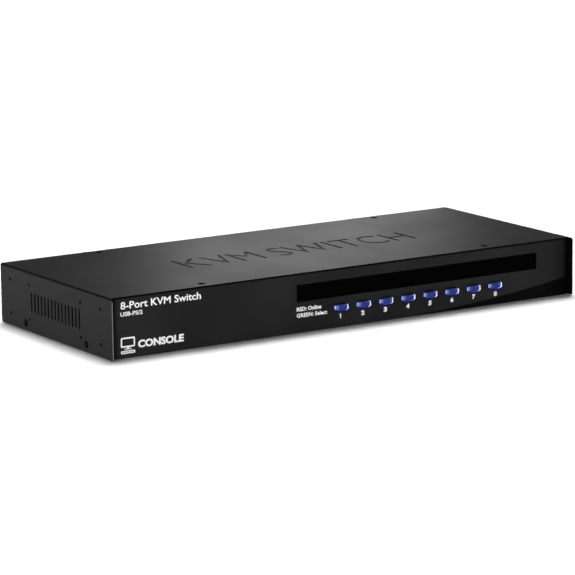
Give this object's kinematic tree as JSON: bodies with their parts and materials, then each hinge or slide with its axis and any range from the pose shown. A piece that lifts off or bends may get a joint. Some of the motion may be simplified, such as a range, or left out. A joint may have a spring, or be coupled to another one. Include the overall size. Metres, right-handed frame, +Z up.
{
  "type": "rack-mount kvm switch",
  "caption": "Flat rack-height keyboard, video and mouse switch in a black steel case, with a dark front window over a row of blue push buttons and a row of sockets at the back.",
  "frame": {"origin": "middle of the overall box, at the level of the surface that it stands on", "axes": "+X to the right of someone facing the front, +Y from the front to the back, +Z up"},
  "size_m": [0.398, 0.1704, 0.044],
  "materials": {
    "case_black": "fine black powder coat",
    "panel_black": "satin black print",
    "window_smoke": "smoked, polished",
    "button_blue": "polished blue",
    "screw_black": "black oxide",
    "zinc": "bright zinc",
    "socket_metal": "nickel plated",
    "socket_plastic": "moulded black",
    "board_green": "green solder mask",
    "chip_black": "moulded black",
    "light_clear": "milky clear resin",
    "ribbon_grey": "grey flat cable"
  },
  "bodies": {
    "case": {"board_screw_1": "zinc", "board_screw_2": "zinc", "board_screw_3": "zinc", "board_screw_4": "zinc", "chassis": "case_black", "console_ps2_stack": "socket_plastic", "console_usb_stack": "socket_metal", "console_video_socket": "socket_metal", "daisy_chain_socket": "socket_metal", "dc_inlet": "socket_plastic", "display_window": "window_smoke", "front_board": "board_green", "front_board_screw_1": "zinc", "front_board_screw_2": "zinc", "front_panel": "panel_black", "led_1": "light_clear", "led_2": "light_clear", "led_3": "light_clear", "led_4": "light_clear", "led_5": "light_clear", "led_6": "light_clear", "led_7": "light_clear", "led_8": "light_clear", "main_board": "board_green", "pc_socket_1": "socket_metal", "pc_socket_2": "socket_metal", "pc_socket_3": "socket_metal", "pc_socket_4": "socket_metal", "pc_socket_5": "socket_metal", "pc_socket_6": "socket_metal", "pc_socket_7": "socket_metal", "pc_socket_8": "socket_metal", "processor_chip": "chip_black", "ribbon_cable": "ribbon_grey", "side_screw_1": "screw_black", "side_screw_2": "screw_black", "side_screw_3": "screw_black", "side_screw_4": "screw_black", "station_display": "chip_black", "switch_1": "chip_black", "switch_2": "chip_black", "switch_3": "chip_black", "switch_4": "chip_black", "switch_5": "chip_black", "switch_6": "chip_black", "switch_7": "chip_black", "switch_8": "chip_black", "top_cover": "case_black", "top_screw_1": "screw_black", "top_screw_2": "screw_black", "top_screw_3": "screw_black", "top_screw_4": "screw_black"},
    "button_1": {"button_1": "button_blue"},
    "button_2": {"button_2": "button_blue"},
    "button_3": {"button_3": "button_blue"},
    "button_4": {"button_4": "button_blue"},
    "button_5": {"button_5": "button_blue"},
    "button_6": {"button_6": "button_blue"},
    "button_7": {"button_7": "button_blue"},
    "button_8": {"button_8": "button_blue"}
  },
  "joints": [
    {"name": "button_1_press", "type": "slide", "parent": "case", "child": "button_1", "axis": [0, 1, 0], "range_m": [0, 0.0008], "stiffness_N_per_m": 1800},
    {"name": "button_2_press", "type": "slide", "parent": "case", "child": "button_2", "axis": [0, 1, 0], "range_m": [0, 0.0008], "stiffness_N_per_m": 1800},
    {"name": "button_3_press", "type": "slide", "parent": "case", "child": "button_3", "axis": [0, 1, 0], "range_m": [0, 0.0008], "stiffness_N_per_m": 1800},
    {"name": "button_4_press", "type": "slide", "parent": "case", "child": "button_4", "axis": [0, 1, 0], "range_m": [0, 0.0008], "stiffness_N_per_m": 1800},
    {"name": "button_5_press", "type": "slide", "parent": "case", "child": "button_5", "axis": [0, 1, 0], "range_m": [0, 0.0008], "stiffness_N_per_m": 1800},
    {"name": "button_6_press", "type": "slide", "parent": "case", "child": "button_6", "axis": [0, 1, 0], "range_m": [0, 0.0008], "stiffness_N_per_m": 1800},
    {"name": "button_7_press", "type": "slide", "parent": "case", "child": "button_7", "axis": [0, 1, 0], "range_m": [0, 0.0008], "stiffness_N_per_m": 1800},
    {"name": "button_8_press", "type": "slide", "parent": "case", "child": "button_8", "axis": [0, 1, 0], "range_m": [0, 0.0008], "stiffness_N_per_m": 1800}
  ]
}
